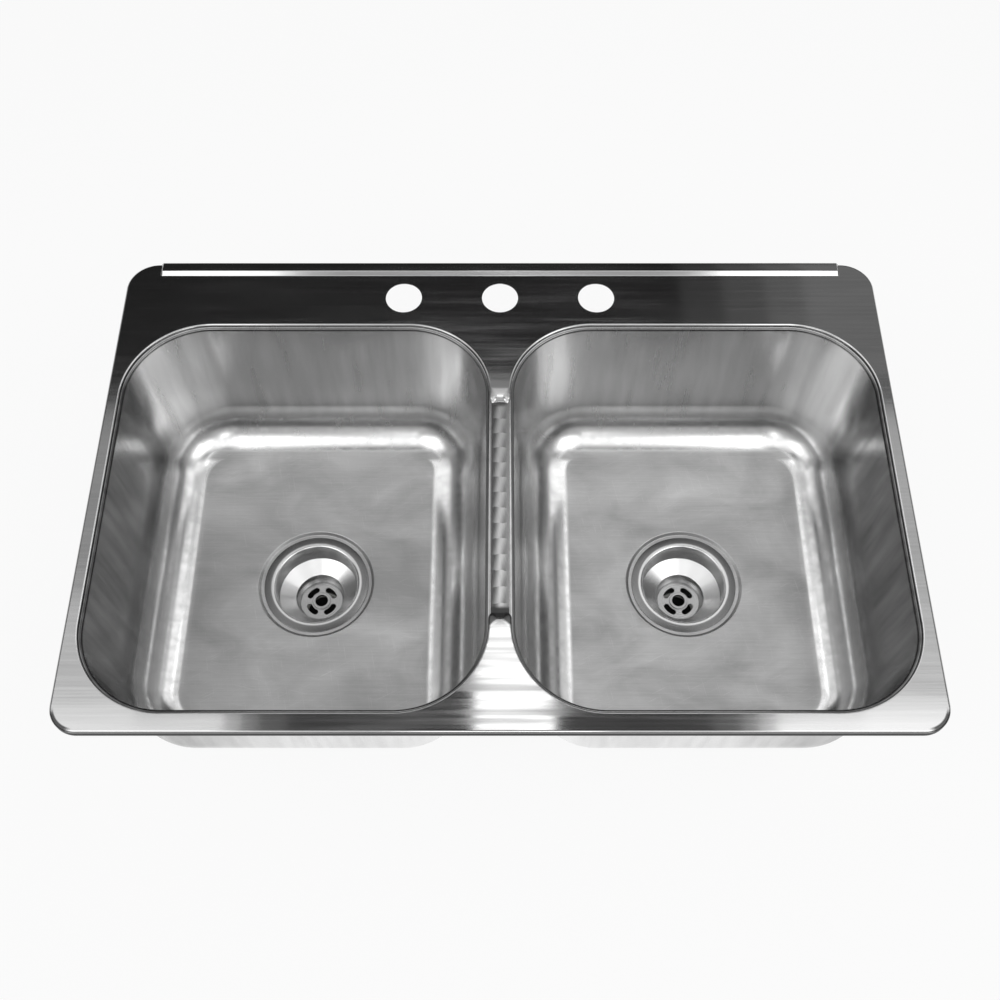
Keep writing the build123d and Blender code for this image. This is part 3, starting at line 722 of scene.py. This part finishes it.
def deck():
    """Deck skin: two rolls swept along its outer outline and its opening, and the flat between.

    The rim's roll goes from z = 0 up and over a quarter circle, the opening's roll from the flat
    down to the bowls' lip, and at a tongue's tip it is a slope that falls by 0.65 t plus 0.35 of
    t^2 (3 - 2 t); the flat is the plane z = TOP less the tap holes.
    """
    rim = rounded_profile([(0, 0, 0), (0, TOP, RIM_ROLL), (-RIM_ROLL - FLAT_END, TOP, 0)], 12)
    bead = rounded_profile([(BEAD + FLAT_END, TOP, 0), (0, TOP, BEAD), (0, LIP + LIP_GAP, 0)], 10)
    outline, out = rounded_rectangle(0, 0, WIDTH / 2, DEPTH / 2, FRONT_CORNER, REAR_CORNER)
    outer = swept(outline, out, rim)

    opening, into = deck_opening()
    at_tip = abs(opening[:, 0]) < DIVIDER_HALF + 0.5
    tip = np.where(at_tip, np.clip(into[:, 1] * np.sign(opening[:, 1]), 0, 1), 0)
    t = np.linspace(0, 1, len(bead))
    fall = 0.65 * t + 0.35 * t * t * (3 - 2 * t)
    slope = np.stack([TIP_SLOPE * (1 - t), TOP - (TOP - LIP - LIP_GAP) * fall], 1)
    inner = swept(opening, into, bead, slope, tip ** 2)

    holes = [arc(x, TAP_Y, TAP_RADIUS, 0, 360, TAP_STEPS)[0] for x in (-TAP_PITCH, 0, TAP_PITCH)]
    level = np.full((TAP_STEPS, 1), TOP)
    points = np.concatenate([outer.reshape(-1, 3), inner.reshape(-1, 3),
                             *(np.concatenate([hole, level], 1) for hole in holes)])
    n_outer, n_inner = outer.shape[0] * outer.shape[1], inner.shape[0] * inner.shape[1]
    rolls = [grid_faces(*outer.shape[:2], False, True)[0],
             grid_faces(*inner.shape[:2], False, True, n_outer)[0]]
    loops = [outer[-1, :, :2], inner[0, :, :2], *holes]
    index = [np.arange(n_outer - outer.shape[1], n_outer), n_outer + np.arange(inner.shape[1])]
    index.append(n_outer + n_inner + np.arange(len(holes) * TAP_STEPS))
    flat = np.concatenate(index)[flat_fill(loops)]
    flat = np.concatenate([flat, flat[:, 2:]], 1)  # as quads, with the last corner twice
    faces = np.concatenate([*rolls, flat])

    a, b, c = (points[faces[:, k]] for k in range(3))
    normal = np.cross(b - a, c - a)
    # outwards: up on the flats, away from the plate on the rim, into the opening on the bead
    want = np.zeros_like(normal)
    want[:, 2] = 1.0
    first, second = len(rolls[0]), len(rolls[0]) + len(rolls[1])
    want[:first, :2] = np.tile(out, (outer.shape[0] - 1, 1))
    want[first:second, :2] = -np.tile(into, (inner.shape[0] - 1, 1))
    wrong = (normal * want).sum(1) < 0
    faces[wrong] = faces[wrong][:, ::-1]
    return piece("deck_plate", points, faces, DECK_STEEL, "deck_steel", ["deck"],
                 plane_uv(points, faces), solid=False)


def thicken(obj, thickness):
    """Gives a skin its thickness on the inner side, in millimetres, and stores the result."""
    solidify = obj.modifiers.new("sheet", "SOLIDIFY")
    solidify.thickness = thickness / 1000
    solidify.offset = -1.0
    solidify.use_even_offset = True
    skin = obj.data
    shaped = obj.evaluated_get(bpy.context.evaluated_depsgraph_get())
    obj.data = bpy.data.meshes.new_from_object(shaped)
    obj.modifiers.clear()
    bpy.data.meshes.remove(skin)
    obj.data.shade_smooth()
    obj.data.set_sharp_from_angle(angle=radians(SHARP))


def piece_with_ends(name, grid, *rest_of_piece):
    """Closed bar: the end rings of a grid are closed with fans about their middles."""
    rows, columns = grid.shape[:2]
    points = np.concatenate([grid.reshape(-1, 3), grid[0].mean(0)[None], grid[-1].mean(0)[None]])
    i = np.arange(columns)
    j = (i + 1) % columns
    first, last = np.full(columns, rows * columns), np.full(columns, rows * columns + 1)
    base = (rows - 1) * columns
    faces = np.concatenate([
        grid_faces(rows, columns, False, True)[0],
        np.stack([j, i, first, first], 1),
        np.stack([base + i, base + j, last, last], 1)])
    return piece(name, points, faces, *rest_of_piece, plane_uv(points, faces))


def rear_ridge():
    """Ridge along the rear edge: a closed profile in Y and Z carried along X.

    At both ends the part above the deck falls to the deck's height, by half a cosine.
    """
    toe, back = RIDGE_TOE - 1.2, DEPTH / 2
    profile = rounded_profile([
        (toe, TOP - 0.05, 0), (RIDGE_TOE, TOP, 0.8), (RIDGE_SHOULDER, RIDGE_TOP, 1.0),
        (back, RIDGE_TOP, RIM_ROLL), (back, RIDGE_FOOT, 0), (back - 0.6, RIDGE_FOOT, 0),
        (back - 0.6, TOP - 0.4, 0), (toe, TOP - 0.4, 0)], 8)
    ends = np.array([0, 0.4, 0.8, 1.2, 1.6, 2.0, RIDGE_END])
    x = np.concatenate([-RIDGE_HALF + ends, np.linspace(-300, 300, 11), (RIDGE_HALF - ends)[::-1]])
    fall = 0.5 - 0.5 * np.cos(pi * np.clip((RIDGE_HALF - abs(x)) / RIDGE_END, 0, 1))
    y = np.broadcast_to(profile[None, :, 0], (len(x), len(profile)))
    z = profile[None, :, 1]
    z = np.where(z > TOP, TOP - 0.02 + (z - TOP + 0.02) * fall[:, None], z)
    grid = np.stack([np.broadcast_to(x[:, None], y.shape), y, z], 2)
    return piece_with_ends("rear_ridge", grid, DECK_STEEL, "deck_steel", ["deck"])


# ---- Bowls -----------------------------------------------------------------------------------
def bowl(side, label):
    """Drawn bowl as one closed shell of rings.

    Lip, wall and floor bend are the opening's outline moved inwards by a profile. Its bend is
    wider on the divider's side: the wider bend's share is the square of the part of the outward
    direction that points to the divider. On the flat floor each point goes in a straight line
    from the bend's last ring to the drain recess, and the recess is turned about the drain. The
    underside comes back the same way, one sheet lower.
    """
    outline, outward = rounded_rectangle(side * OPEN_X, OPEN_Y, OPEN_HALF_X, OPEN_HALF_Y,
                                         OPEN_RADIUS, OPEN_RADIUS, 40, 26)
    drain = np.array([side * DRAIN_X, DRAIN_Y])
    thick = SHEET / cos(WALL_ANGLE)
    foot = WALL_INSET + (LIP - LIP_FALL - FLOOR) * DRAFT
    low_foot = foot - thick + SHEET * DRAFT
    inwards = 80.0  # from the wall's foot to a point on the floor, which gives the bend its angle
    under, under_lip = FLOOR - SHEET, LIP - SHEET
    steps = 26
    bend = steps + 3  # row at which the floor bend starts, after two of the lip and the roll
    between_rows = np.linspace(0, 1, 7)[1:-1, None]

    def above(radius, fall):
        rows = rounded_profile([(SHEET, LIP, 0), (SHEET / 2, LIP, 0), (-WALL_INSET, LIP - fall, BEAD),
                                (-foot, FLOOR, radius), (-foot - inwards, FLOOR, 0)], steps)[:-1]
        wall = rows[bend - 1] + between_rows * (rows[bend] - rows[bend - 1])
        return np.concatenate([rows[:bend], wall, rows[bend:]])

    def below(radius):
        return rounded_profile([
            (-low_foot - inwards, under, 0), (-low_foot, under, radius + SHEET),
            (-WALL_INSET + thick - SHEET * DRAFT, under_lip, BEAD - SHEET), (SHEET, under_lip, 0)], 14)[1:]

    def rays(edge):
        away = edge - drain
        return away / np.linalg.norm(away, axis=1, keepdims=True)

    def floor_rings(edge, height, count):
        t = np.linspace(0, 1, count)[:, None, None]
        circle = drain + (RECESS_EDGE + FLAT_END) * rays(edge)
        xy = edge[None] * (1 - t) + circle[None] * t
        return np.concatenate([xy, np.full(xy.shape[:2] + (1,), height)], 2)

    inner = np.clip(-side * outward[:, 0], 0, 1) ** 2
    upper = swept(outline, outward, above(FLOOR_RADIUS, LIP_FALL), above(INNER_RADIUS, SEAM_FALL), inner)
    lower = swept(outline, outward, below(FLOOR_RADIUS), below(INNER_RADIUS), inner)
    recess = rounded_profile([
        (RECESS_EDGE, FLOOR, 0), (RECESS_TOP, FLOOR, 1.2), (RECESS_FOOT, SEAT, 1.0),
        (DRAIN_HOLE, SEAT, 0), (DRAIN_HOLE, SEAT - SHEET, 0),
        (RECESS_FOOT + RECESS_SHIFT, SEAT - SHEET, 1.9), (RECESS_TOP + RECESS_SHIFT, under, 0.4),
        (RECESS_EDGE, under, 0)], 8)
    edge, low_edge = upper[-1, :, :2], lower[0, :, :2]
    grid = np.concatenate([
        upper, floor_rings(edge, FLOOR, 14)[1:],
        swept(np.tile(drain, (len(edge), 1)), rays(edge), recess),
        floor_rings(low_edge, under, 8)[::-1][:-1], lower])
    x, y = outline.T
    seam = (abs(x) < DIVIDER_HALF + 0.01) & (y > SADDLE_FRONT) & (y < SADDLE_REAR)
    grid[0, seam, 0] = grid[-1, seam, 0] = side * SADDLE_HALF
    faces, cj, ci = grid_faces(*grid.shape[:2], True, True)
    return piece(label + "_bowl_shell", grid, faces, BOWL_STEEL, "bowl_steel", [label + "_bowl"],
                 ring_uv(grid, cj, ci))


# ---- Saddle ----------------------------------------------------------------------------------
def saddle():
    """Strip between the bowls: a closed profile, crowned by 1 - (x / half)^2, carried along Y.

    Under both tongues the crown is cut off at the lip's height.
    """
    x = np.linspace(-SADDLE_HALF, SADDLE_HALF, 25)
    crown = LIP + SADDLE_CROWN * (1 - (x / SADDLE_HALF) ** 2)
    profile = np.concatenate([
        np.stack([x, crown], 1), [[SADDLE_HALF, LIP - SHEET], [-SADDLE_HALF, LIP - SHEET]]])
    y = np.concatenate([[SADDLE_FRONT], np.linspace(TONGUE_FRONT + 4, TONGUE_REAR + 1, 40),
                        [TONGUE_REAR + 4, SADDLE_REAR]])
    z = np.broadcast_to(profile[None, :, 1], (len(y), len(profile))).copy()
    z[[0, -2, -1]] = np.minimum(z[[0, -2, -1]], LIP)
    grid = np.stack([np.broadcast_to(profile[None, :, 0], z.shape),
                     np.broadcast_to(y[:, None], z.shape), z], 2)
    return piece_with_ends("saddle_strip", grid, SADDLE_STEEL, "saddle_steel", ["divider_saddle"])


# ---- Drain fittings --------------------------------------------------------------------------
def threads(radius, start, end, pitch):
    """Profile of ring grooves between two heights: radius less half a raised cosine."""
    z = np.linspace(start, end, int(abs(end - start) / pitch) * 8 + 1)
    r = radius - THREAD_DEPTH * (0.5 - 0.5 * np.cos(2 * pi * (z - start) / pitch))
    return np.stack([r, z], 1)


def strainer(side, label):
    """Drain body turned about its axis: flange, straight cup, cone, throat and threaded outlet."""
    inner = rounded_profile([
        (FLANGE, SEAT, 0), (FLANGE, SEAT + 0.9, 0.5), (CUP, SEAT + 1.8, 3.2), (CUP, CONE_TOP, 1.2),
        (THROAT, CONE_FOOT, 1.2), (GRID_POCKET, GRID_TOP, 0), (GRID_POCKET, GRID_SEAT, 0),
        (OUTLET, GRID_SEAT, 0), (OUTLET, OUTLET_END, 0), (OUTLET_THREAD, OUTLET_END, 0)], 8)
    outer = rounded_profile([
        (OUTLET_THREAD, GRID_SEAT - 1.2, 0), (THROAT + 1.2, CONE_FOOT - 0.6, 0),
        (CUP_OUTER, CONE_TOP - 0.6, 0)], 4)
    profile = np.concatenate([
        inner, threads(OUTLET_THREAD, OUTLET_END + 0.5, GRID_SEAT - 2.3, 2.0), outer,
        threads(CUP_OUTER, -191.6, SEAT - 1.0, 2.2), [[CUP_OUTER, SEAT]]])
    grid = turned(profile, side * DRAIN_X, DRAIN_Y, 160)
    faces, cj, ci = grid_faces(*grid.shape[:2], True, True)
    return piece(label + "_drain_body", grid, faces, DRAIN_STEEL, "drain_steel",
                 [label + "_strainer_body"], ring_uv(grid, cj, ci), sharp=40.0)


thicken(deck(), SHEET)
rear_ridge()
saddle()
for side, label in ((-1, "left"), (1, "right")):
    bowl(side, label)
    strainer(side, label)

# ---- Finishes of the frame's own pieces ------------------------------------------------------
RUBBER = sheet_rubber("damping rubber sheet", (0.035, 0.035, 0.037), (0.075, 0.075, 0.078), 1.6, 0.12, 0.8)
GASKET = sheet_rubber("moulded rubber", (0.02, 0.02, 0.021), (0.05, 0.05, 0.052), 0.7, 0.04, 0.6)
FOAM = sheet_rubber("closed-cell foam", (0.09, 0.09, 0.092), (0.16, 0.16, 0.162), 0.9, 0.15, 0.85)
CLAMP = zinc_plate("zinc plate", False)
FINISHES = {  # by the ending of a node's name
    "sound_pad": RUBBER,
    "drain_gasket": GASKET,
    "friction_ring": fibre(),
    "drain_locknut": cast_zinc(),
    "tailpiece_washer": moulded_plastic("moulded washer", (0.74, 0.74, 0.71), (0.82, 0.82, 0.80)),
    "coupling_nut": moulded_plastic("moulded nut", (0.70, 0.70, 0.67), (0.80, 0.80, 0.77)),
    "rim_seal": FOAM,
    "clamp_studs": zinc_plate("zinc-plated thread", True),
    "strainer_grid": grid_steel(),
    "_foot": CLAMP,
    "_wing_nut": CLAMP,
}
for name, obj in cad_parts.items():
    for ending, chosen in FINISHES.items():
        if name.endswith(ending):
            obj.data.materials.clear()
            obj.data.materials.append(chosen)


# ---- Studio ----------------------------------------------------------------------------------
def floor():
    """Pale floor under the drains: its own pale colour, lifted to white where rays look at it.

    It has painted shade where it shows through an outlet, dark as the shaded pipe below would be,
    and its own underside is clear.
    """
    made, tree, shader, place = material("studio floor")
    shade = noise(tree, stretched(tree, place, 400, 400, 400), 1.0, 2.0)
    shade = remap(tree, shade, 0.0, 1.0, 0.80, 0.84)
    square = from_drain(tree, place)[1]
    # painted shade: a black disc on the floor under each outlet
    clear = remap(tree, square, 0.0255 ** 2, 0.027 ** 2)
    colour = between(tree, times(tree, shade, clear), 0.0, 1.0)
    finish(tree, shader, colour, 0.9, metallic=0.0)
    path = add(tree, "ShaderNodeLightPath").outputs
    seen = most(tree, path["Is Camera Ray"], path["Is Glossy Ray"], path["Is Transmission Ray"])
    glow = add(tree, "ShaderNodeEmission", {"Color": (1, 1, 1, 1), "Strength": 1.0}).outputs[0]
    upper = add(tree, "ShaderNodeMixShader",
                {0: times(tree, seen, 0.9, clear), 1: shader.outputs[0], 2: glow}).outputs[0]
    below = add(tree, "ShaderNodeNewGeometry").outputs["Backfacing"]
    nothing = add(tree, "ShaderNodeBsdfTransparent").outputs[0]
    surface = add(tree, "ShaderNodeMixShader", {0: below, 1: upper, 2: nothing}).outputs[0]
    fill(tree, tree.nodes["Material Output"], {0: surface})

    mesh = bpy.data.meshes.new("studio_floor")
    low, half = cad_box[0][2] - 0.0005, 6
    corners = [(-half, -half, low), (half, -half, low), (half, half, low), (-half, half, low)]
    mesh.from_pydata(corners, [], [(0, 1, 2, 3)])
    mesh.materials.append(made)
    obj = bpy.data.objects.new("studio_floor", mesh)
    bpy.context.collection.objects.link(obj)


def surroundings():
    """Studio round the sink, painted on a ceiling plane: u = x / z to the right, v = y / z back.

    Two soft wide panels at the front, a panel far back, one far out on both sides, and between
    them a ceiling that falls off to dark towards the back. Low down everything is dim. It is
    white where the camera looks at it.
    """
    world = bpy.data.worlds.new("studio")
    bpy.context.scene.world = world
    world.use_nodes = True
    tree = world.node_tree
    tree.nodes.clear()
    x, y, z = coordinates(tree, add(tree, "ShaderNodeTexCoord").outputs["Generated"])
    height = most(tree, z, 0.02)
    u = maths(tree, "ABSOLUTE", maths(tree, "DIVIDE", x, height))
    v = maths(tree, "DIVIDE", y, height)

    def panel(level, *sides):
        edges = []
        for along, low, high, soft in sides:
            edges.append(remap(tree, along, low - soft, low + soft, 0, 1, "SMOOTHSTEP"))
            edges.append(remap(tree, along, high - soft, high + soft, 1, 0, "SMOOTHSTEP"))
        return times(tree, *edges, level)

    level = most(
        tree,
        panel(1.4, (u, -9, 1.2, 0.3), (v, -0.78, -0.20, 0.12)),
        panel(0.5, (u, -9, 1.2, 0.3), (v, -2.6, -0.3, 0.25)),
        panel(0.40, (v, 2.8, 90, 0.6)),
        panel(0.36, (u, 1.1, 90, 0.25)),
        remap(tree, v, 0.05, 0.65, 0.10, 0.02, "SMOOTHSTEP"),
    )
    level = times(tree, level, remap(tree, z, 0.0, 0.3, 0.25, 1.0, "SMOOTHSTEP"))
    level = most(tree, level, add(tree, "ShaderNodeLightPath").outputs["Is Camera Ray"])
    back = add(tree, "ShaderNodeBackground",
               {"Color": joined_axes(tree, level, level, level), "Strength": 1.0}).outputs[0]
    add(tree, "ShaderNodeOutputWorld", {0: back})


def softbox(name, x0, x1, y0, y1, level):
    """Level lamp that faces down from LAMP_HEIGHT and covers a rectangle.

    Its power is pi times its area times the level at which it shows in a mirror.
    """
    lamp = bpy.data.lights.new(name, "AREA")
    lamp.shape, lamp.size, lamp.size_y = "RECTANGLE", x1 - x0, y1 - y0
    lamp.energy = level * pi * lamp.size * lamp.size_y
    obj = bpy.data.objects.new(name, lamp)
    bpy.context.collection.objects.link(obj)
    obj.location = ((x0 + x1) / 2, (y0 + y1) / 2, LAMP_HEIGHT)
    obj.visible_camera = False


LAMP_HEIGHT = 1.03
LAMPS = [  # name, from and to in x, from and to in y, level, and level of its twin on the left
    ("middle front", -0.045, 0.095, 0.02, 0.26, 2.1, 0),
    ("middle", -0.07, 0.07, 0.26, 0.45, 2.3, 0),
    ("middle back", -0.07, 0.07, 0.45, 0.78, 0.8, 0),
    ("front", -0.2, 0.2, -1.4, -0.85, 2.0, 0),
    ("overhead", 0.09, 0.62, 0.22, 0.78, 1.2, 0.95),
    ("first strip", 0.37, 0.42, -0.9, 0.12, 0.10, 0.10),
    ("second strip", 0.42, 0.45, -0.9, 0.12, 0.35, 0.3),
    ("third strip", 0.45, 0.48, -0.9, 0.12, 0.85, 0.7),
    ("side front", 0.48, 1.6, -0.9, 0.12, 1.6, 1.25),
    ("side", 0.64, 1.1, 0.12, 0.34, 0.72, 0.7),
    ("side back", 0.64, 1.1, 0.34, 0.75, 0.58, 0.37),
    ("rear strip", 0.38, 0.47, 0.80, 1.3, 0.03, 0),
    ("second rear strip", 0.47, 0.56, 0.80, 1.3, 0.07, 0),
    ("third rear strip", 0.56, 0.64, 0.80, 1.3, 0.12, 0),
    ("rear side", 0.64, 1.2, 0.80, 1.3, 0.18, 0),
]

floor()
surroundings()
for name, x0, x1, y0, y1, level, left_level in LAMPS:
    softbox(name, x0, x1, y0, y1, level)
    if left_level:
        softbox("left " + name, -x1, -x0, y0, y1, left_level)

camera = bpy.data.cameras.new("camera")
camera.sensor_width, camera.lens = 36.0, 44.14
view = bpy.data.objects.new("camera", camera)
bpy.context.collection.objects.link(view)
view.location = (0, -0.5986, 1.0396)
view.rotation_euler = (radians(28.9), 0, 0)
bpy.context.scene.camera = view
bpy.context.scene.view_settings.view_transform = "Standard"
